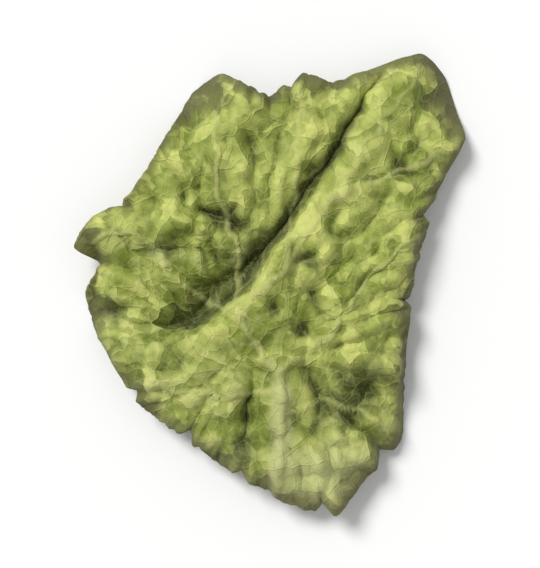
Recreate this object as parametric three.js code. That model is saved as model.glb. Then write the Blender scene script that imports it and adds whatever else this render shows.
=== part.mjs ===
import * as THREE from 'three';

// One piece of dried coriander leaf, as it lies crisped on a table: a thin fan of blade, still
// whole across its lobed far edge and broken off at its foot. It rests on its curled margins.
// Millimetres, +Z up. +Y runs from the foot of the fan to its lobes, +X to the right seen from above.

// Driving dimensions
const leafWidth = 7.9;           // across the lobes, along X
const leafLength = 9.3;          // foot to lobe tips, along Y
const bladeThickness = 0.16;     // blade with its dried veins
const bladeHeight = 0.86;        // how far the middle of the blade stands off the table
const bodyRise = 0.62;           // right of the main fold it stands this much higher than the left
const gridCells = 40;            // cells along each side of the net that the blade is drawn on

// The margin, clockwise from the tip of the far left lobe, on a leaf of the drawn width and length
const marginSlack = 0.22;        // less makes sharper corners at the points
const drawnWidth = 7.82;
const drawnLength = 9.22;
const marginPoints = [
  [-0.93, 4.19], [0.02, 3.76], [0.61, 4.23], [1.20, 4.04], [1.93, 4.23], [3.07, 4.59],
  [3.59, 4.15], [3.95, 2.90], [3.40, 1.87], [2.89, 0.04], [2.74, -1.36], [2.70, -3.12],
  [1.93, -3.90], [1.35, -4.63], [0.39, -4.37], [-1.00, -3.56], [-2.55, -2.39], [-3.51, -0.85],
  [-3.67, -0.18], [-3.42, 0.36], [-3.87, 0.72], [-3.51, 1.29], [-2.70, 1.80], [-1.96, 3.05],
  [-1.52, 3.86],
];

// A fold is a valley along a path: how deep it is halfway along, and how far it reaches each side
const mainFold = {
  path: [[2.40, 4.30], [0.32, 1.07], [-0.55, 0.15], [-1.45, -0.62], [-2.60, -0.85], [-3.60, -0.60]],
  depth: 0.60,
  reach: 0.40,
};
const sideFolds = [
  { path: [[-0.20, 1.20], [-1.00, 1.45], [-2.70, 2.25]], depth: 0.52, reach: 0.42 },  // between left lobes
  { path: [[-1.20, 0.45], [-2.30, 0.62], [-3.50, 0.50]], depth: 0.30, reach: 0.38 },  // along the left lobe
  { path: [[0.60, 2.40], [0.50, 3.20], [0.10, 3.90]], depth: 0.18, reach: 0.40 },     // to the far notch
  { path: [[-0.40, -1.40], [-0.35, -2.50], [-0.60, -3.80]], depth: 0.30, reach: 0.34 },  // left of the midrib
  { path: [[0.70, -1.50], [1.00, -2.40], [0.90, -3.60]], depth: 0.28, reach: 0.38 },  // right of the midrib
  { path: [[2.40, -1.20], [2.05, -2.20], [1.50, -3.20]], depth: 0.30, reach: 0.40 },  // by the right margin
  { path: [[3.30, 2.00], [2.55, 2.30], [2.25, 3.40]], depth: 0.22, reach: 0.36 },     // under the right lobe
];
// A rib is a valley turned over
const ribs = [
  { path: [[-0.86, -0.99], [0.40, 0.30], [1.30, 1.60], [3.00, 4.10]], depth: -0.24, reach: 0.40 },
  { path: [[-0.86, -0.99], [0.17, -1.73], [0.30, -2.83], [0.10, -4.15]], depth: -0.18, reach: 0.32 },
  { path: [[-0.50, 3.90], [-1.15, 2.30], [-0.90, 1.80]], depth: -0.20, reach: 0.42 },
  { path: [[-1.70, 0.95], [-2.60, 1.20], [-3.50, 1.10]], depth: -0.14, reach: 0.40 },
];
const hollows = [
  { at: [0.83, 0.40], depth: 0.14, reach: 0.36 },
  { at: [0.02, -0.45], depth: 0.14, reach: 0.36 },
  { at: [0.66, -0.92], depth: 0.22, reach: 0.42 },
  { at: [1.90, 0.60], depth: 0.14, reach: 0.55 },
  { at: [-1.90, -1.90], depth: 0.16, reach: 0.60 },
];

// The curled margin touches the table in these directions from the middle, and lifts between them
const restingAngles = [46, 112, 190, 314];
const restingSpread = 11;        // degrees of margin that stay down at each
const marginLift = 0.60;
const gentleCurl = 3.6;          // the higher it is, the nearer the margin the blade turns down
const tightCurl = 8.0;
const tightestAngle = -15;       // the right margin is curled tightest
const curlRoundness = 0.7;       // under 1, the blade turns down more squarely
const liftSharpness = 4;         // the lifted stretches rise only near the margin
const leastStanding = 0.25;      // folds cut no lower than this into the middle of the blade
const riseStretch = [-0.05, 0.45];  // the rise is spread over this stretch right of the main fold
const riseFade = 2.4;            // and sinks back over about this distance
const swell = 0.10;              // height of the slow waves over the whole blade
const swellAcross = { turn: 1.9, shift: 0.6 };   // radians per millimetre, and at the origin
const swellAlong = { turn: 1.5, shift: -0.5 };
const pathEnd = 0.08;            // a fold is still this share of the way along at its ends

const stepsAroundMargin = 720;

function marginByAngle() {
  const points = marginPoints.map(([x, y]) => new THREE.Vector3(
    x * leafWidth / drawnWidth, y * leafLength / drawnLength, 0));
  const curve = new THREE.CatmullRomCurve3(points, true, 'catmullrom', marginSlack);
  const around = curve.getSpacedPoints(stepsAroundMargin);
  return around.map((point) => ({
    angle: Math.atan2(point.y, point.x),
    radius: Math.hypot(point.x, point.y),
  })).sort((a, b) => a.angle - b.angle);
}

const margin = marginByAngle();

function marginRadius(angle) {
  const last = margin.length - 1;
  const next = Math.max(margin.findIndex((step) => step.angle > angle), 0);
  const after = margin[next];
  const before = margin[next === 0 ? last : next - 1];
  const span = (after.angle - before.angle + 2 * Math.PI) % (2 * Math.PI);
  const along = (angle - before.angle + 2 * Math.PI) % (2 * Math.PI);
  return THREE.MathUtils.lerp(before.radius, after.radius, span > 0 ? along / span : 0);
}

// Distance from a point to a path, and how far along it. The signed distance is positive on the
// right-hand side when going along the path, which is up and to the left of the main fold
function placeOnPath(path, x, y) {
  let best = { distance: Infinity, signed: 0, along: 0 };
  for (let i = 0; i + 1 < path.length; i += 1) {
    const [x0, y0] = path[i];
    const [x1, y1] = path[i + 1];
    const dx = x1 - x0;
    const dy = y1 - y0;
    const along = THREE.MathUtils.clamp(((x - x0) * dx + (y - y0) * dy) / (dx * dx + dy * dy), 0, 1);
    const distance = Math.hypot(x - x0 - along * dx, y - y0 - along * dy);
    if (distance < best.distance) {
      const side = Math.sign((x - x0) * dy - (y - y0) * dx);
      best = { distance, signed: side * distance, along: (i + along) / (path.length - 1) };
    }
  }
  return best;
}

function valley(fold, x, y) {
  const { distance, along } = placeOnPath(fold.path, x, y);
  const fade = Math.sin(Math.PI * THREE.MathUtils.clamp(along, pathEnd, 1 - pathEnd));
  return fold.depth * fade * Math.exp(-((distance / fold.reach) ** 2));
}

function hollow(spot, x, y) {
  const away = Math.hypot(x - spot.at[0], y - spot.at[1]) / spot.reach;
  return spot.depth * Math.exp(-away * away);
}

// Degrees between two directions, from 0 to 180
function degreesApart(angle, degrees) {
  const turned = THREE.MathUtils.euclideanModulo(THREE.MathUtils.radToDeg(angle) - degrees, 360);
  return Math.min(turned, 360 - turned);
}

// 0 where the margin touches the table, 1 well away from there
function offTheTable(angle) {
  return restingAngles.reduce(
    (lift, resting) => lift * (1 - Math.exp(-((degreesApart(angle, resting) / restingSpread) ** 2))), 1);
}

// Height of the blade's underside above the table. out is 0 in the middle and 1 at the margin
function underside(x, y, out, angle) {
  const fold = placeOnPath(mainFold.path, x, y);
  const rightOfFold = THREE.MathUtils.smoothstep(-fold.signed, ...riseStretch);
  let body = bladeHeight + bodyRise * rightOfFold * Math.exp(-fold.distance / riseFade);
  body -= mainFold.depth * Math.exp(-((fold.distance / mainFold.reach) ** 2));
  for (const each of [...sideFolds, ...ribs]) {
    body -= valley(each, x, y);
  }
  for (const each of hollows) {
    body -= hollow(each, x, y);
  }
  const acrossWave = Math.sin(swellAcross.turn * x + swellAcross.shift);
  body += swell * acrossWave * Math.cos(swellAlong.turn * y + swellAlong.shift);
  const tightness = 0.5 + 0.5 * Math.cos(THREE.MathUtils.degToRad(degreesApart(angle, tightestAngle)));
  const curl = THREE.MathUtils.lerp(gentleCurl, tightCurl, tightness);
  const standing = (1 - out ** curl) ** curlRoundness;
  const lifted = marginLift * offTheTable(angle) * out ** liftSharpness;
  return Math.max(body, leastStanding) * standing + lifted;
}

// The blade's net: a square net bent onto the round, so that its cells stay even to the margin
function netPlace(i, j) {
  const a = 2 * i / gridCells - 1;
  const b = 2 * j / gridCells - 1;
  if (a === 0 && b === 0) return { out: 0, angle: 0 };
  const wide = Math.abs(a) > Math.abs(b);
  const reach = wide ? a : b;
  const turn = wide ? (Math.PI / 4) * (b / a) : (Math.PI / 2) - (Math.PI / 4) * (a / b);
  const x = reach * Math.cos(turn);
  const y = reach * Math.sin(turn);
  return { out: Math.min(Math.hypot(x, y), 1), angle: Math.atan2(y, x) };
}

function bladeGeometry() {
  const side = gridCells + 1;
  const positions = [];
  for (const layer of [0, bladeThickness]) {
    for (let j = 0; j < side; j += 1) {
      for (let i = 0; i < side; i += 1) {
        const { out, angle } = netPlace(i, j);
        const radius = out * marginRadius(angle);
        const x = radius * Math.cos(angle);
        const y = radius * Math.sin(angle);
        positions.push(x, y, underside(x, y, out, angle) + layer);
      }
    }
  }
  const under = (i, j) => j * side + i;
  const over = (i, j) => side * side + under(i, j);
  const triangles = [];
  const height = (vertex) => positions[3 * vertex + 2];
  // Each cell is split along its more level diagonal, so that folds stay smooth
  const quad = (a, b, c, d) => {
    if (Math.abs(height(a) - height(c)) <= Math.abs(height(b) - height(d))) {
      triangles.push(a, b, c, a, c, d);
    } else {
      triangles.push(a, b, d, b, c, d);
    }
  };
  for (let j = 0; j < gridCells; j += 1) {
    for (let i = 0; i < gridCells; i += 1) {
      quad(over(i, j), over(i + 1, j), over(i + 1, j + 1), over(i, j + 1));
      quad(under(i, j), under(i, j + 1), under(i + 1, j + 1), under(i + 1, j));
    }
  }
  for (let k = 0; k < gridCells; k += 1) {
    quad(under(k, 0), under(k + 1, 0), over(k + 1, 0), over(k, 0));
    quad(under(k + 1, gridCells), under(k, gridCells), over(k, gridCells), over(k + 1, gridCells));
    quad(under(0, k + 1), under(0, k), over(0, k), over(0, k + 1));
    quad(under(gridCells, k), under(gridCells, k + 1), over(gridCells, k + 1), over(gridCells, k));
  }
  const geometry = new THREE.BufferGeometry();
  geometry.setAttribute('position', new THREE.Float32BufferAttribute(positions, 3));
  geometry.setIndex(triangles);
  geometry.computeVertexNormals();
  return geometry;
}

// Moves the blade so that its box is centred over the origin and its lowest point is on the table
function standOnOrigin(geometry) {
  geometry.computeBoundingBox();
  const { min, max } = geometry.boundingBox;
  geometry.translate(-(min.x + max.x) / 2, -(min.y + max.y) / 2, -min.z);
  return geometry;
}

const driedLeaf = new THREE.MeshStandardMaterial({ color: 0x7f8a45, roughness: 0.78, metalness: 0 });
const blade = new THREE.Mesh(standOnOrigin(bladeGeometry()), driedLeaf);
blade.name = 'leaf_blade';

const coriander = new THREE.Group();
coriander.add(blade);

export default coriander;
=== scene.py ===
import math
import bpy
import numpy as np
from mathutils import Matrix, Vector


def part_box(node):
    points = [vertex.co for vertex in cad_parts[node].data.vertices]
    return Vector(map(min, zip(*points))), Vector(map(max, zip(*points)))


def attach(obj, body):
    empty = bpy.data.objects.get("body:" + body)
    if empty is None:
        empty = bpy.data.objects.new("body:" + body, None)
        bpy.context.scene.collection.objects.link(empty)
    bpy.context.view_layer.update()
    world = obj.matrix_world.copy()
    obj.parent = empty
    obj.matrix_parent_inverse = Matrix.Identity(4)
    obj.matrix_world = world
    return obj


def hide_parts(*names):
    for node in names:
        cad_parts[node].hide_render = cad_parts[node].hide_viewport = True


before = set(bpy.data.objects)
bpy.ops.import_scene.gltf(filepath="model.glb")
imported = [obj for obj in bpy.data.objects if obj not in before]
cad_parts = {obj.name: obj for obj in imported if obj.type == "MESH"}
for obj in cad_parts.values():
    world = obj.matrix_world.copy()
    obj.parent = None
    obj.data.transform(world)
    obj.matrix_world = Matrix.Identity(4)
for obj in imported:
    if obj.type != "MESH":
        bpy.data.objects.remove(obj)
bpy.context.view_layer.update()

# A crisped piece of dried coriander leaf. Shapes are worked out in millimetres, +Y to the lobes,
# and put into the meshes in metres.
mm = 0.001
bladeBox = np.array(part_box("leaf_blade")) / mm
print("frame loaded, leaf", np.round(bladeBox[1] - bladeBox[0], 2), "mm")


# a number from 0 to 1 for each whole-numbered corner, scrambled from its two counts and a seed
def scramble(i, j, seed):
    h = (i.astype(np.int64) * 374761393 + j.astype(np.int64) * 668265263 + seed * 1442695041) & 0xFFFFFFFF
    h = ((h ^ (h >> 13)) * 1274126177) & 0xFFFFFFFF
    return ((h ^ (h >> 16)) & 0xFFFFFF) / float(0x1000000)


# slopes picked at random on a unit grid and blended smoothly between: about -0.7 to 0.7
def softNoise(x, y, seed):
    i, j = np.floor(x), np.floor(y)
    u, v = x - i, y - j

    def ease(t):
        return t * t * t * (t * (t * 6 - 15) + 10)

    def corner(a, b):
        way = scramble(i + a, j + b, seed) * 2 * np.pi
        return np.cos(way) * (u - a) + np.sin(way) * (v - b)

    low = corner(0, 0) * (1 - ease(u)) + corner(1, 0) * ease(u)
    high = corner(0, 1) * (1 - ease(u)) + corner(1, 1) * ease(u)
    return low * (1 - ease(v)) + high * ease(v)


# scattered points, one to a unit square: how much further the second nearest is than the nearest
# (0 on the border between two cells), and a number from 0 to 1 that a cell keeps to itself
def cellNoise(x, y, seed):
    i, j = np.floor(x), np.floor(y)
    first, second, own = np.full(x.shape, 9.0), np.full(x.shape, 9.0), np.zeros(x.shape)
    for a in (-1, 0, 1):
        for b in (-1, 0, 1):
            px = i + a + 0.1 + 0.8 * scramble(i + a, j + b, seed)
            py = j + b + 0.1 + 0.8 * scramble(i + a, j + b, seed + 17)
            d = np.hypot(x - px, y - py)
            own = np.where(d < first, scramble(i + a, j + b, seed + 31), own)
            second = np.where(d < first, first, np.minimum(second, d))
            first = np.minimum(first, d)
    return second - first, own


# distance to a path of straight stretches, which side (+ on its right) and how far along from 0 to 1
def nearPath(x, y, path):
    path = np.array(path, float)
    best, side, along = np.full(x.shape, 99.0), np.zeros(x.shape), np.zeros(x.shape)
    for k in range(len(path) - 1):
        (x0, y0), (dx, dy) = path[k], path[k + 1] - path[k]
        t = np.clip(((x - x0) * dx + (y - y0) * dy) / (dx * dx + dy * dy), 0, 1)
        d = np.hypot(x - x0 - t * dx, y - y0 - t * dy)
        nearer = d < best
        side = np.where(nearer, np.sign((x - x0) * dy - (y - y0) * dx), side)
        along = np.where(nearer, (k + t) / (len(path) - 1), along)
        best = np.where(nearer, d, best)
    return best, side, along


# a cubic through the points: at each point it heads along the line between the two neighbours, by
# the slack times their distance, so less slack makes sharper corners
def curveThrough(points, perStretch, closed=False, slack=0.5):
    p = np.array(points, float)
    if closed:
        p = np.vstack([p[-1:], p, p[:2]])
    else:
        p = np.vstack([2 * p[0] - p[1], p, 2 * p[-1] - p[-2]])
    t = np.linspace(0, 1, perStretch, endpoint=False)[:, None]
    a, b, c, d = p[:-3, None], p[1:-2, None], p[2:-1, None], p[3:, None]
    leave, arrive = slack * (c - a), slack * (d - b)
    squared, cubed = 3 * (c - b) - 2 * leave - arrive, 2 * (b - c) + leave + arrive
    rows = b + leave * t + squared * t ** 2 + cubed * t ** 3
    rows = rows.reshape(-1, 2)
    return rows if closed else np.vstack([rows, p[-2:-1]])


# 0 below the low value, 1 above the high one, and 3 t^2 - 2 t^3 between them
def smoothStep(x, low, high):
    t = np.clip((x - low) / (high - low), 0, 1)
    return t * t * (3 - 2 * t)


blade = {
    "cells": 218,                # along each side of the net
    "thickness": 0.10,           # between the veins
    "veinThickness": 0.035,      # added along the main veins
    "height": 0.78,              # middle of the blade above the table
    "rise": 0.80,                # right of the main fold, above the left lobes
    "margin": [                  # clockwise from the tip of the far left lobe
        (-0.93, 4.19), (0.02, 3.76), (0.61, 4.23), (1.20, 4.04), (1.93, 4.23), (3.07, 4.59),
        (3.59, 4.15), (3.95, 2.90), (3.40, 1.87), (2.89, 0.04), (2.74, -1.36), (2.70, -3.12),
        (1.93, -3.90), (1.35, -4.63), (0.39, -4.37), (-1.00, -3.56), (-2.55, -2.39), (-3.51, -0.85),
        (-3.67, -0.18), (-3.42, 0.36), (-3.87, 0.72), (-3.51, 1.29), (-2.70, 1.80), (-1.96, 3.05),
        (-1.52, 3.86)],
    "tears": [                   # direction in degrees, depth in mm and half-width in degrees
        (83, 0.22, 2.6), (24, 0.20, 3.0), (-7, 0.12, 2.0), (-56, 0.26, 3.4), (-76, 0.30, 2.2),
        (-98, 0.16, 2.6), (-118, 0.20, 2.4), (-141, 0.16, 2.8), (172, 0.20, 2.6), (152, 0.14, 2.4)],
    "mainFold": [
        (2.26, 4.10), (0.32, 1.05), (-0.44, 0.06), (-1.44, -0.74), (-2.55, -0.90), (-3.60, -0.65)],
    "mainFoldDepth": 0.74,
    "folds": [                   # path, depth, half-width
        ([(-0.15, 1.05), (-0.90, 1.36), (-1.75, 1.52)], 0.56, 0.24),
        ([(-1.40, 1.50), (-2.20, 1.95), (-2.80, 2.30)], 0.20, 0.24),
        ([(-1.20, 0.62), (-2.05, 0.60), (-2.90, 0.72)], 0.22, 0.16),
        ([(-2.50, -0.30), (-3.05, -0.50), (-3.70, -0.60)], 0.26, 0.22),
        ([(0.30, 2.60), (0.25, 3.30), (0.05, 3.95)], 0.16, 0.22),
        ([(-0.30, -1.60), (-0.34, -2.40), (-0.45, -3.90)], 0.34, 0.18),
        ([(0.75, -1.50), (1.00, -2.30), (0.95, -3.30)], 0.30, 0.24),
        ([(2.35, -1.30), (2.00, -2.20), (1.45, -3.10)], 0.26, 0.28),
        ([(3.25, 2.00), (2.55, 2.30), (2.30, 3.30)], 0.22, 0.20),
        ([(2.95, 3.30), (3.05, 2.70), (3.30, 2.10)], 0.22, 0.18)],
    "ribs": [                    # the same, standing up
        ([(-0.95, -0.95), (0.36, 0.33), (1.20, 1.55), (2.95, 4.10)], 0.24, 0.24),
        ([(-0.86, -0.90), (0.17, -1.73), (0.30, -2.83), (0.10, -4.30)], 0.24, 0.17),
        ([(0.10, 1.00), (-1.20, 0.98), (-2.50, 1.18), (-3.40, 1.00)], 0.24, 0.32),
        ([(-0.55, 3.80), (-1.15, 2.30), (-1.00, 1.85)], 0.20, 0.26),
        ([(1.30, -1.70), (1.36, -2.30), (1.40, -2.90)], 0.16, 0.16)],
    "hollows": [                 # place, depth, half-width
        ((0.83, 0.40), 0.24, 0.17), ((0.02, -0.42), 0.22, 0.18), ((0.61, -0.92), 0.32, 0.22),
        ((0.98, -0.26), 0.26, 0.17), ((1.75, -2.45), 0.10, 0.60), ((-1.90, -1.55), 0.12, 0.50),
        ((-0.42, -3.15), 0.24, 0.26), ((-2.04, 0.62), 0.16, 0.24), ((-3.05, -0.62), 0.16, 0.30),
        ((2.52, 2.30), 0.14, 0.24)],
    "shadePatches": [                  # place, strength and half-width of patches of painted shade
        ((-0.90, 1.36), 0.75, 0.26), ((0.28, 0.94), 0.90, 0.20), ((-0.30, 0.40), 0.45, 0.36),
        ((-1.20, -0.50), 0.45, 0.36), ((1.95, -1.75), 0.42, 0.75), ((1.40, -2.30), 0.34, 0.50), ((0.56, -0.95), 0.55, 0.20),
        ((0.88, 0.34), 0.45, 0.18), ((-0.48, -3.45), 0.70, 0.26), ((0.95, -2.6), 0.25, 0.35),
        ((-2.35, 0.62), 0.30, 0.30), ((2.75, -1.9), 0.45, 0.35), ((1.02, -0.55), 0.40, 0.16), ((0.02, -0.60), 0.40, 0.14)],
    "darkTipsAndShade": [               # place and half-width of the darkened lobe tips, and of painted shade on the right margin
        ((-1.10, 3.90), 0.66), ((3.62, 3.50), 0.55), ((-3.70, 0.70), 0.48), ((-3.45, -0.50), 0.42),
        ((0.60, 4.20), 0.25), ((2.80, -1.60), 0.62), ((2.76, -0.30), 0.46), ((-2.40, -2.35), 0.42),
        ((3.05, 4.45), 0.30)],
    # a painted highlight along the lit ridge of the left lobes
    "highlightStreak": [(-3.10, 0.92), (-2.10, 0.55), (-1.40, 0.50), (-0.55, 0.68)],
    "crumples": [                # direction in degrees, creases per mm and height in mm
        (18, 1.5, 0.16), (74, 1.9, 0.14), (131, 1.3, 0.17), (162, 2.7, 0.085), (48, 3.1, 0.075),
        (101, 4.3, 0.060), (3, 4.9, 0.055)],
    "foot": (-0.45, -1.60),      # where the pleats run together
    "restingAngles": [46, 112, 190, 314],
    "restingSpread": 9,
    "lift": 0.62,
}

mainVeins = [                    # each from its foot to its tip
    [(0.10, -4.50), (0.28, -2.83), (0.14, -1.73), (-0.45, -0.85), (0.42, 0.33), (1.28, 1.65),
     (2.20, 3.05), (3.10, 4.35)],
    [(-0.45, -0.85), (-0.62, 0.60), (-1.00, 2.10), (-0.90, 4.00)],
    [(-0.45, -0.85), (-1.70, -0.05), (-2.60, 0.95), (-3.70, 0.85)],
    [(0.14, -1.73), (1.20, -1.05), (2.00, 0.10), (3.10, 1.10)],
    [(0.26, -2.60), (1.25, -2.35), (2.60, -2.95)],
    [(0.20, -2.10), (-1.00, -2.20), (-2.60, -1.95)],
    [(0.42, 0.33), (0.55, 2.00), (0.66, 4.05)],
    [(1.28, 1.65), (2.40, 2.15), (3.80, 2.80)],
]


# each side vein leaves its main vein at about 45 degrees, left and right in turn, and bends to its tip
def sideVeins():
    found = []
    for k, vein in enumerate(mainVeins):
        line = curveThrough(vein, 12)
        steps = np.linspace(0.16, 0.86, 5 if k else 11)
        for n, at in enumerate(steps):
            here = line[int(at * (len(line) - 1))]
            ahead = line[min(int(at * (len(line) - 1)) + 2, len(line) - 1)] - here
            way = math.atan2(ahead[1], ahead[0]) + (0.80 if n % 2 else -0.80)
            reach = 1.25 - 0.55 * at
            points = [here]
            for step in range(3):
                points.append(points[-1] + reach / 3 * np.array([math.cos(way), math.sin(way)]))
                way -= 0.17 if n % 2 else -0.17
            found.append(points)
    return found


# the net is a square one bent onto the round: the larger of the two counts is the way out from the
# middle, and their ratio the turn
def roundNet(cells):
    a, b = np.meshgrid(np.linspace(-1, 1, cells + 1), np.linspace(-1, 1, cells + 1))
    wide = np.abs(a) > np.abs(b)
    reach = np.where(wide, a, b)
    with np.errstate(divide="ignore", invalid="ignore"):
        turn = np.where(wide, np.pi / 4 * (b / a), np.pi / 2 - np.pi / 4 * (a / b))
    turn = np.nan_to_num(turn)
    x, y = reach * np.cos(turn), reach * np.sin(turn)
    return np.minimum(np.hypot(x, y), 1), np.arctan2(y, x)


# distance from the middle to the margin in each direction, less the tears and a fine raggedness
def marginRadius(turn):
    line = curveThrough(blade["margin"], 40, closed=True, slack=0.22)
    bearing = np.arctan2(line[:, 1], line[:, 0])
    order = np.argsort(bearing)
    reach = np.hypot(line[:, 0], line[:, 1])[order]
    radius = np.interp(turn, bearing[order], reach, period=2 * np.pi)
    for degrees, depth, spread in blade["tears"]:
        apart = (np.degrees(turn) - degrees + 180) % 360 - 180
        radius = radius - depth * np.clip(1 - np.abs(apart) / spread, 0, 1)
    ragged = 0.20 * np.abs(softNoise(6 * turn, 0 * turn, 3))
    ragged = ragged + 0.26 * np.abs(softNoise(17 * turn, 0 * turn + 5, 4)) ** 1.5
    broken = smoothStep(softNoise(1.7 * turn, 0 * turn + 7, 5), -0.3, 0.3)
    return radius + 0.05 - ragged * broken - 0.05 * np.abs(softNoise(41 * turn, 0 * turn + 3, 6)) * broken


# 0 in the directions where the margin rests on the table, rising to 1 away from them
def offTheTable(turn):
    lift = np.ones(turn.shape)
    for degrees in blade["restingAngles"]:
        apart = (np.degrees(turn) - degrees + 180) % 360 - 180
        lift *= 1 - np.exp(-(apart / blade["restingSpread"]) ** 2)
    return lift


# straight up and straight down in turn, with a sharp crease at every whole number
def zigzag(t):
    return np.abs(t % 2 - 1) - 0.5


# deepest halfway along the path, and falling off to each side as e to the minus distance^1.4
def valley(x, y, path, depth, spread):
    distance, _, along = nearPath(x, y, path)
    return depth * np.sin(np.pi * np.clip(along, 0.08, 0.92)) * np.exp(-(distance / spread) ** 1.4)


# height of the blade over its plan, in two parts. The form stands higher on the right of the main
# fold than on its left, less the folds and hollows, plus the ribs. The detail is pleats that fan out
# from the foot, and crumples with sharp creases that cross each other. The third part is the painted
# shade: how dark the main fold, the folds, the hollows and the shade patches are painted
def relief(x, y):
    wx = x + 0.22 * softNoise(0.9 * x, 0.9 * y, 21) + 0.07 * softNoise(2.7 * x, 2.7 * y, 22)
    wy = y + 0.22 * softNoise(0.9 * x, 0.9 * y, 23) + 0.07 * softNoise(2.7 * x, 2.7 * y, 24)
    distance, side, along = nearPath(wx, wy, blade["mainFold"])
    lower, fading = smoothStep(along, 0.14, 0.36), 1 - smoothStep(along, 0.55, 0.92)
    risen = smoothStep(-side * distance, -0.06, 0.26 + 0.30 * lower) * np.exp(-distance / 2.4)
    form = blade["height"] + blade["rise"] * risen * (0.16 + 0.84 * lower) * (0.15 + 0.85 * fading)
    reach = np.where(side < 0, 0.09 + 0.12 * lower, 0.09 + 0.48 * lower)
    sunk = (0.50 + 0.50 * lower) * (0.15 + 0.85 * fading) * np.exp(-(distance / reach) ** 1.2)
    form -= blade["mainFoldDepth"] * sunk
    # painted shade along the main fold, wider on its right side
    foldShadeWidth = np.where(side < 0, 0.16 + 0.12 * lower, 0.20 + 0.40 * lower)
    paintedShade = smoothStep(along, 0.01, 0.08) * (0.10 + 0.90 * fading) * np.exp(-(distance / foldShadeWidth) ** 2)
    # each fold sinks the form and is painted with shade in step with its depth
    for path, depth, spread in blade["folds"]:
        dip = valley(wx, wy, path, depth, spread)
        form, paintedShade = form - dip, paintedShade + 1.5 * dip
    for path, depth, spread in blade["ribs"]:
        form += valley(wx, wy, path, depth, spread)
    # each hollow sinks the form and is painted with stronger shade
    for (px, py), depth, spread in blade["hollows"]:
        dip = depth * np.exp(-((wx - px) ** 2 + (wy - py) ** 2) / spread ** 2)
        form, paintedShade = form - 0.6 * dip, paintedShade + 2.8 * dip
    # patches of painted shade
    for (px, py), strength, spread in blade["shadePatches"]:
        paintedShade += strength * np.exp(-((wx - px) ** 2 + (wy - py) ** 2) / spread ** 2)
    form += 0.08 * np.sin(1.9 * x + 0.6) * np.cos(1.5 * y - 0.5)
    footX, footY = blade["foot"]
    fan, fromFoot = np.arctan2(wy - footY, wx - footX), np.hypot(wx - footX, wy - footY)
    wide = 6.1 * fan + 0.9 * softNoise(1.1 * x, 1.1 * y, 31)
    fine = 15 * fan + 1.3 * softNoise(1.7 * x, 1.7 * y, 32)
    detail = 0.18 * smoothStep(fromFoot, 0.5, 3.5) * zigzag(wide)
    detail += 0.075 * smoothStep(fromFoot, 0.8, 3.0) * zigzag(fine)
    for k, (degrees, perMm, height) in enumerate(blade["crumples"]):
        way = wx * math.cos(math.radians(degrees)) + wy * math.sin(math.radians(degrees))
        strength = smoothStep(softNoise(0.7 * x, 0.7 * y, 80 + k), -0.25, 0.30)
        detail += height * strength * zigzag(perMm * way + 0.8 * softNoise(0.9 * x, 0.9 * y, 90 + k))
    return form, detail, np.clip(paintedShade, 0, 1)


# veins as lines of a given half-width: 1 on the line and falling off to each side
def veinLines(x, y):
    main, side = np.zeros(x.shape), np.zeros(x.shape)
    for path in mainVeins:
        distance, _, along = nearPath(x, y, curveThrough(path, 8))
        width = 0.052 * (1 - 0.55 * along)
        main = np.maximum(main, np.exp(-(distance / width) ** 2))
    for path in sideVeins():
        distance, _, along = nearPath(x, y, path)
        side = np.maximum(side, (1 - 0.6 * along) * np.exp(-(distance / 0.028) ** 2))
    return main, side


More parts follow.
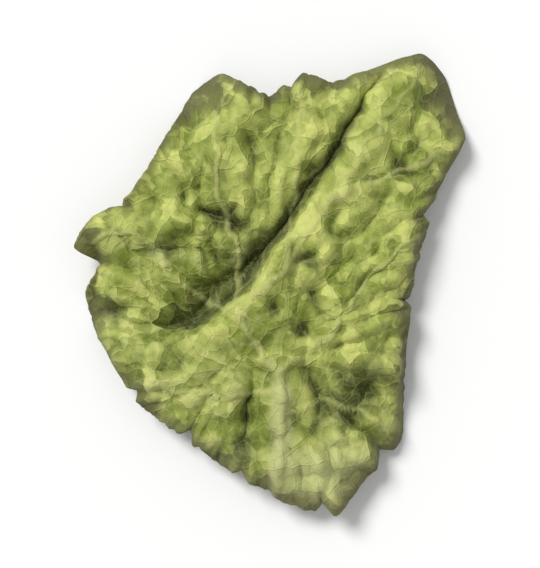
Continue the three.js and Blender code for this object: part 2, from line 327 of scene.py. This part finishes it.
# the whole blade: straight out across the plan, then round a small roll that turns the margin down.
# roll radius and angle change with direction, so that some of the margin is flat and some tucked in
def bladeSurface(out, turn):
    radius = marginRadius(turn)
    rightward = 0.5 + 0.5 * np.cos(turn + 0.26)
    roll = 0.14 + 0.08 * softNoise(1.6 * turn, 0 * turn + 2, 51) + 0.05 * rightward
    rollTurn = np.radians(10 + 56 * rightward ** 3 + 80 * softNoise(2.6 * turn, 0 * turn + 9, 52))
    rollTurn = np.clip(rollTurn, 0.12, 2.3)
    widest = np.where(rollTurn > np.pi / 2, 1.0, np.sin(rollTurn))
    flat = radius - roll * widest
    share = flat / (flat + roll * rollTurn)
    inside = out < share
    swing = rollTurn * np.clip((out - share) / (1 - share), 0, 1)
    rho = np.where(inside, flat * out / share, flat + roll * np.sin(swing))
    x, y = rho * np.cos(turn), rho * np.sin(turn)
    form, detail, paintedShade = relief(x, y)
    drop = roll * (1 - np.cos(swing))
    rollHeight = roll * (1 - np.cos(rollTurn)) * smoothStep(out, 0.15, 0.6)
    curl = 3.2 + 5.0 * rightward
    standing = (1 - np.clip(rho / radius, 0, 1) ** curl)
    standing = np.where(inside, standing, standing * (1 - swing / rollTurn))
    wave = 0.30 * out ** 6 * softNoise(5 * turn, 0 * turn, 61) * offTheTable(turn)
    resting = 1 - offTheTable(turn)
    z = standing * (np.maximum(form, 0.2) - rollHeight) + rollHeight - drop
    z += blade["lift"] * (1 - resting) * out ** 4 + wave + detail * (1 - 0.8 * resting * out ** 6)
    # small cells between the finest veins, some puffed up and some sunk in
    wx, wy = x + 0.16 * softNoise(2.4 * x, 2.4 * y, 71), y + 0.16 * softNoise(2.4 * x, 2.4 * y, 72)
    border, own = cellNoise(2.1 * wx, 2.1 * wy, 73)
    border2, own2 = cellNoise(5.3 * wx, 5.3 * wy, 74)
    mainVein, sideVein = veinLines(wx, wy)
    pucker = 0.044 * (own - 0.45) * smoothStep(border, 0, 0.30)
    pucker = pucker + 0.016 * (own2 - 0.45) * smoothStep(border2, 0, 0.3)
    z += pucker * (1 - 0.6 * smoothStep(out, 0.86, 1)) + 0.022 * mainVein + 0.009 * sideVein
    z += 0.010 * softNoise(9 * x, 9 * y, 75)
    # the higher side leans out over the main fold
    distance, side, along = nearPath(x, y, blade["mainFold"])
    lean = 0.13 * np.exp(-((side * distance + 0.42) / 0.26) ** 2)
    lean = lean * np.sin(np.pi * np.clip(along, 0, 1))
    x, y = x - 0.80 * lean, y + 0.60 * lean
    # painted light glowing through the thin foot, then the pale midrib towards the foot
    paleAndPaintedLight = 1.4 * np.exp(-((x - 1.30) ** 2 + (y + 4.10) ** 2) / 0.90 ** 2)
    paleAndPaintedLight += 1.05 * np.exp(-((x - 0.28) / 0.24) ** 2) * smoothStep(-y, 1.1, 2.4)
    # a painted highlight along the lit ridge of the left lobes
    streak, _, _ = nearPath(x, y, blade["highlightStreak"])
    paleAndPaintedLight += 0.42 * np.exp(-(streak / 0.26) ** 2)
    # darkened lobe tips, and painted shade on the right margin where it curls down
    tips = []
    for (px, py), spread in blade["darkTipsAndShade"]:
        tips.append(np.exp(-((x - px) ** 2 + (y - py) ** 2) / spread ** 2))
    # a paler grey over the lower left
    lowerLeft = smoothStep(-0.45 * x - 0.9 * y, 0.9, 2.2) * smoothStep(-x, -0.3, 0.5)
    # the margin's mask reaches further in on the right, for painted shade where the margin curls down
    marks = {"mainVein": mainVein, "sideVein": sideVein, "paintedShade": paintedShade, "out": out + 0.06 * rightward,
             "tip": np.max(tips, 0),
             "paleAndPaintedLight": np.clip(paleAndPaintedLight + 0.30 * lowerLeft, 0, 1)}
    return np.stack([x, y, z], -1), marks


# unit normals from the two differences across the net
def netNormals(points):
    across, up = np.gradient(points, axis=1), np.gradient(points, axis=0)
    normal = np.cross(across, up)
    return normal / np.linalg.norm(normal, axis=-1, keepdims=True)


# how far each point lies above the mean of its wide neighbourhood on the net, in mm
def standsProud(z, reach):
    padded = np.pad(z, reach, mode="edge")
    total = np.pad(padded, ((1, 0), (1, 0))).cumsum(0).cumsum(1)
    wide = 2 * reach + 1
    box = total[wide:, wide:] - total[:-wide, wide:] - total[wide:, :-wide] + total[:-wide, :-wide]
    return z - box / wide ** 2


# two layers of the net, half a thickness to each side of the surface, joined by a rounded rim
def bladeMesh():
    cells = blade["cells"]
    side = cells + 1
    out, turn = roundNet(cells)
    middle, marks = bladeSurface(out, turn)
    normal = netNormals(middle)
    thick = blade["thickness"] * (1 - 0.50 * out ** 8) + blade["veinThickness"] * marks["mainVein"]
    half = normal * thick[..., None] / 2
    index = np.arange(side * side).reshape(side, side)
    rim = np.concatenate([index[0, :-1], index[:-1, -1], index[-1, :0:-1], index[:0:-1, 0]])
    flat = middle.reshape(-1, 3)
    outward = flat[rim] - np.roll(flat[rim], 1, 0)
    outward = np.cross(outward, normal.reshape(-1, 3)[rim])
    outward /= np.linalg.norm(outward, axis=1, keepdims=True)
    rimPoints = flat[rim] + outward * thick.reshape(-1)[rim, None] * 0.45
    top, bottom = (middle + half).reshape(-1, 3), (middle - half).reshape(-1, 3)
    points = np.vstack([top, bottom, rimPoints])
    n = side * side
    a, b = index[:-1, :-1].ravel(), index[:-1, 1:].ravel()
    c, d = index[1:, 1:].ravel(), index[1:, :-1].ravel()
    upper = np.stack([a, b, c, d], 1)
    lower = np.stack([a, d, c, b], 1) + n
    here, ahead = rim, np.roll(rim, -1)
    ring = 2 * n + np.arange(len(rim))
    ringAhead = np.roll(ring, -1)
    rimUp = np.stack([here, ring, ringAhead, ahead], 1)
    rimDown = np.stack([ring, here + n, ahead + n, ringAhead], 1)
    faces = np.vstack([upper, lower, rimUp, rimDown])
    low, high = points.min(0), points.max(0)
    points -= [(low[0] + high[0]) / 2, (low[1] + high[1]) / 2, low[2]]
    points *= (bladeBox[1] - bladeBox[0]) / (high - low)
    # how high each place stands over its neighbours: raised places get painted light, sunk ones painted
    # shade
    marks["reliefLightAndShade"] = np.clip(0.5 + standsProud(middle[..., 2], 7) / 0.30, 0, 1)
    rows = {}
    for name, values in marks.items():
        flatValues = values.reshape(-1)
        rows[name] = np.concatenate([flatValues, flatValues, flatValues[rim]])
    rows["under"] = np.concatenate([np.zeros(n), np.ones(n), np.full(len(rim), 0.5)])
    return points * mm, faces, rows


# a smooth mesh from points in metres and faces of four, each row of values stored on its points
def addMesh(name, points, faces, rows):
    mesh = bpy.data.meshes.new(name)
    mesh.from_pydata(points.tolist(), [], faces.tolist())
    mesh.polygons.foreach_set("use_smooth", np.ones(len(faces), bool))
    for field, values in rows.items():
        layer = mesh.attributes.new(field, "FLOAT", "POINT")
        layer.data.foreach_set("value", values.astype(np.float32))
    mesh.update()
    thing = bpy.data.objects.new(name, mesh)
    bpy.context.scene.collection.objects.link(thing)
    return thing


leafBlade = addMesh("dried_blade", *bladeMesh())
bladeSize = np.round(np.array(leafBlade.dimensions) / mm, 2)
print("blade made,", len(leafBlade.data.polygons), "faces,", bladeSize, "mm")


class Wire:
    # a number in a shader: sums, products and powers of wires add their Math nodes
    def __init__(self, tree, socket):
        self.tree, self.socket = tree, socket

    def math(self, operation, *others):
        node = self.tree.nodes.new("ShaderNodeMath")
        node.operation = operation
        for slot, value in zip(node.inputs, (self,) + others):
            if isinstance(value, Wire):
                self.tree.links.new(value.socket, slot)
            else:
                slot.default_value = value
        return Wire(self.tree, node.outputs[0])

    def __add__(self, other):
        return self.math("ADD", other)

    def __mul__(self, other):
        return self.math("MULTIPLY", other)

    def __sub__(self, other):
        return self.math("SUBTRACT", other)

    def __rsub__(self, other):
        return (self * -1).math("ADD", other)

    __radd__ = __add__
    __rmul__ = __mul__


class Finish:
    # a material or a world, its main shader, and the one way that its nodes are added
    def __init__(self, owner, shader="Principled BSDF"):
        owner.use_nodes = True
        self.tree = owner.node_tree
        self.shader = self.tree.nodes[shader]

    def node(self, kind, settings=None, **values):
        node = self.tree.nodes.new(kind)
        for key, value in (settings or {}).items():
            setattr(node, key, value)
        for key, value in values.items():
            slot = node.inputs[int(key[1:])] if key[0] == "n" and key[1:].isdigit() else node.inputs[key]
            self.plug(slot, value)
        return node

    def plug(self, slot, value):
        if isinstance(value, Wire):
            value = value.socket
        if isinstance(value, bpy.types.NodeSocket):
            self.tree.links.new(value, slot)
        else:
            slot.default_value = value

    def field(self, name):
        return Wire(self.tree, self.node("ShaderNodeAttribute", {"attribute_name": name}).outputs["Fac"])

    def noise(self, where, scale, detail=3.0, roughness=0.55):
        made = self.node("ShaderNodeTexNoise", None, Vector=where, Scale=scale, Detail=detail,
                         Roughness=roughness)
        return Wire(self.tree, made.outputs["Fac"])

    def cellEdge(self, where, scale):
        made = self.node("ShaderNodeTexVoronoi", {"feature": "DISTANCE_TO_EDGE"}, Vector=where, Scale=scale)
        return Wire(self.tree, made.outputs["Distance"])

    def cellShade(self, where, scale):
        made = self.node("ShaderNodeTexVoronoi", None, Vector=where, Scale=scale)
        return Wire(self.tree, made.outputs["Color"])

    def steps(self, value, low, high):
        made = self.node("ShaderNodeMapRange", {"interpolation_type": "SMOOTHSTEP"},
                         n0=value, n1=low, n2=high)
        return Wire(self.tree, made.outputs[0])

    def blend(self, amount, first, second):
        made = self.node("ShaderNodeMix", {"data_type": "RGBA"}, n0=amount, n6=first, n7=second)
        return made.outputs[2]


leafPattern = {                  # features to the millimetre
    "patches": 0.55, "mottle": 2.2, "grain": 18.0, "specks": 9.0, "finest": 45.0,
    "wideCells": 2.0, "fineCells": 5.2, "drift": 1.7,
}

leafColours = {                  # linear, as the eye sees them dry
    "green": (0.182, 0.236, 0.026, 1),
    "olive": (0.305, 0.355, 0.072, 1),
    "straw": (0.545, 0.578, 0.160, 1),
    "deep": (0.040, 0.052, 0.004, 1),
    "vein": (0.445, 0.455, 0.165, 1),
    "brown": (0.108, 0.102, 0.040, 1),
    "paleAndPaintedLight": (0.460, 0.470, 0.205, 1),
    "under": (0.380, 0.400, 0.205, 1),
}


# olive blade, patched greener and strawer, each small cell between the veins with a tone of its own,
# raised places painted lighter and sunken places painted with shade. Painted shade in the folds, the
# hollows and dark patches; paler along the veins and the midrib, with painted light at the thin foot, a
# painted highlight streak on the left lobes and greyer over the lower left; darkened at the lobe tips,
# browned at the torn margin, with painted shade on the right margin where it curls down, and paler
# underneath
def leafFinish():
    material = bpy.data.materials.new("dried coriander blade")
    leaf = Finish(material)
    place = leaf.node("ShaderNodeTexCoord").outputs["Object"]
    where = leaf.node("ShaderNodeVectorMath", {"operation": "SCALE"}, n0=place, n3=1 / mm).outputs[0]
    per = leafPattern
    drift = leaf.node("ShaderNodeTexNoise", None, Vector=where, Scale=per["drift"], Detail=2.0)
    drift = drift.outputs["Color"]
    drift = leaf.node("ShaderNodeVectorMath", {"operation": "SCALE"}, n0=drift, n3=0.35).outputs[0]
    bent = leaf.node("ShaderNodeVectorMath", {"operation": "ADD"}, n0=where, n1=drift).outputs[0]
    patches = leaf.noise(where, per["patches"], 4.0)
    mottle = leaf.noise(where, per["mottle"], 5.0, 0.6)
    grain = leaf.noise(where, per["grain"], 4.0, 0.65)
    wideNet = 1 - leaf.steps(leaf.cellEdge(bent, per["wideCells"]), 0.0, 0.055)
    fineNet = 1 - leaf.steps(leaf.cellEdge(bent, per["fineCells"]), 0.0, 0.11)
    mainVein, sideVein, paintedShade = leaf.field("mainVein"), leaf.field("sideVein"), leaf.field("paintedShade")
    out, reliefLightAndShade, under = leaf.field("out"), leaf.field("reliefLightAndShade"), leaf.field("under")
    paleAndPaintedLight, tip = leaf.field("paleAndPaintedLight"), leaf.field("tip")

    green, olive, straw = leafColours["green"], leafColours["olive"], leafColours["straw"]
    deep, vein, brown = leafColours["deep"], leafColours["vein"], leafColours["brown"]
    # each cell's own tone, plus painted light on raised places and painted shade on sunken ones
    toneAndReliefLight = 0.50 * mottle + 0.34 * leaf.cellShade(bent, per["wideCells"])
    toneAndReliefLight = toneAndReliefLight + 0.26 * leaf.cellShade(bent, per["fineCells"]) + 0.30 * reliefLightAndShade
    specks = leaf.steps(leaf.noise(where, per["specks"], 3.0, 0.6), 0.62, 0.70)
    broken = (toneAndReliefLight - 0.70) * 1.1
    # the torn margin browned all round, with painted shade reaching further in on the right
    edge = leaf.steps(out - broken * 0.10, 0.92, 1.02)
    colour = leaf.blend(leaf.steps(patches, 0.40, 0.62), green, olive)
    colour = leaf.blend(leaf.steps(toneAndReliefLight, 0.63, 0.98) * 0.90, colour, straw)
    colour = leaf.blend(leaf.steps(toneAndReliefLight + 0.20 * grain, 0.80, 0.52) * 0.50, colour, deep)
    colour = leaf.blend(specks * 0.30, colour, brown)
    # painted shade where the surface sinks below its neighbours
    colour = leaf.blend(leaf.steps(reliefLightAndShade, 0.46, 0.12) * 0.70, colour, deep)
    # painted shade in the main fold, the folds, the hollows and the shade patches
    colour = leaf.blend(leaf.steps(paintedShade - broken * 0.5, 0.12, 0.85) * 0.86, colour, deep)
    colour = leaf.blend(fineNet * 0.16, colour, vein)
    colour = leaf.blend(wideNet * 0.22, colour, vein)
    colour = leaf.blend(sideVein * 0.42, colour, vein)
    colour = leaf.blend(mainVein * 0.56, colour, vein)
    # pale midrib, with painted light at the thin foot and a painted highlight streak on the left lobes
    colour = leaf.blend(leaf.steps(paleAndPaintedLight + broken * 0.8, 0.10, 1.0) * 0.70, colour, leafColours["paleAndPaintedLight"])
    # darkened lobe tips, and painted shade on the right margin
    colour = leaf.blend(leaf.steps(tip - broken * 1.2, 0.30, 0.95) * 0.60, colour, brown)
    colour = leaf.blend(edge * 0.80, colour, brown)
    colour = leaf.blend(leaf.steps(under, 0.4, 0.9) * 0.55, colour, leafColours["under"])
    leaf.plug(leaf.shader.inputs["Base Color"], colour)
    leaf.plug(leaf.shader.inputs["Roughness"], 0.56 + 0.24 * grain + 0.10 * mottle)

    height = wideNet * 0.9 + fineNet * 0.45 + grain * 0.7
    height = height + leaf.noise(where, per["finest"], 2.0) * 0.2
    bump = leaf.node("ShaderNodeBump", None, Strength=0.60, Distance=0.020 * mm, Height=height)
    leaf.plug(leaf.shader.inputs["Normal"], bump.outputs["Normal"])
    leaf.shader.inputs["Specular IOR Level"].default_value = 0.32
    leaf.shader.inputs["Subsurface Weight"].default_value = 0.07
    leaf.shader.inputs["Subsurface Radius"].default_value = (0.6, 1.0, 0.15)
    leaf.shader.inputs["Subsurface Scale"].default_value = 0.08 * mm
    leaf.shader.inputs["Sheen Weight"].default_value = 0.06
    leaf.shader.inputs["Sheen Roughness"].default_value = 0.4
    return material


leafBlade.data.materials.append(leafFinish())
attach(leafBlade, "root")
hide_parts("leaf_blade")
print("blade finished")


studio = {
    "tableSize": 3000, "tableColour": (0.87, 0.87, 0.865, 1),
    "sky": (1.0, 1.0, 1.0, 1), "skyStrength": 0.50,
    "keyFrom": (-32, 37, 58), "keySoftness": 22, "keyStrength": 2.72,
    "lens": 100, "fill": 0.82,
}


# a white table that reaches past every view
def addTable():
    half = studio["tableSize"] * mm / 2
    corners = [(-half, -half, 0), (half, -half, 0), (half, half, 0), (-half, half, 0)]
    mesh = bpy.data.meshes.new("table")
    mesh.from_pydata(corners, [], [(0, 1, 2, 3)])
    table = bpy.data.objects.new("table", mesh)
    bpy.context.scene.collection.objects.link(table)
    material = bpy.data.materials.new("white table")
    paper = Finish(material)
    paper.shader.inputs["Base Color"].default_value = studio["tableColour"]
    paper.shader.inputs["Roughness"].default_value = 0.8
    mesh.materials.append(material)


# puts a thing at a place and turns it to look at a target, both in mm
def aim(thing, place, target):
    thing.location = Vector(place) * mm
    way = Vector(target) * mm - thing.location
    thing.rotation_euler = way.to_track_quat("-Z", "Y").to_euler()


# a soft sun from the far left, and a room that lights evenly from all round but looks white
def addLight():
    lamp = bpy.data.lights.new("key", "SUN")
    lamp.angle, lamp.energy = math.radians(studio["keySoftness"]), studio["keyStrength"]
    key = bpy.data.objects.new("key", lamp)
    bpy.context.scene.collection.objects.link(key)
    aim(key, studio["keyFrom"], (0, 0, 0.5))
    world = bpy.data.worlds.new("soft room")
    room = Finish(world, "Background")
    room.shader.inputs["Color"].default_value = studio["sky"]
    seen = Wire(room.tree, room.node("ShaderNodeLightPath").outputs["Is Camera Ray"])
    dim = studio["skyStrength"]
    room.plug(room.shader.inputs["Strength"], seen * (1 - dim) + dim)
    bpy.context.scene.world = world


# straight overhead, as high as makes the leaf's length fill its share of the frame
def addCamera():
    lens = bpy.data.cameras.new("camera")
    lens.lens, lens.sensor_fit, lens.sensor_width = studio["lens"], "VERTICAL", 36
    lens.sensor_height = 36
    lens.clip_start, lens.clip_end = mm, 10
    camera = bpy.data.objects.new("camera", lens)
    bpy.context.scene.collection.objects.link(camera)
    length = (bladeBox[1] - bladeBox[0])[1]
    height = length / studio["fill"] * studio["lens"] / lens.sensor_height
    camera.location = (0, 0, (height + 0.8) * mm)
    camera.rotation_euler = (0, 0, 0)
    bpy.context.scene.camera = camera


addTable()
addLight()
addCamera()
bpy.context.scene.view_settings.view_transform = "Standard"
print("table, light and camera set")
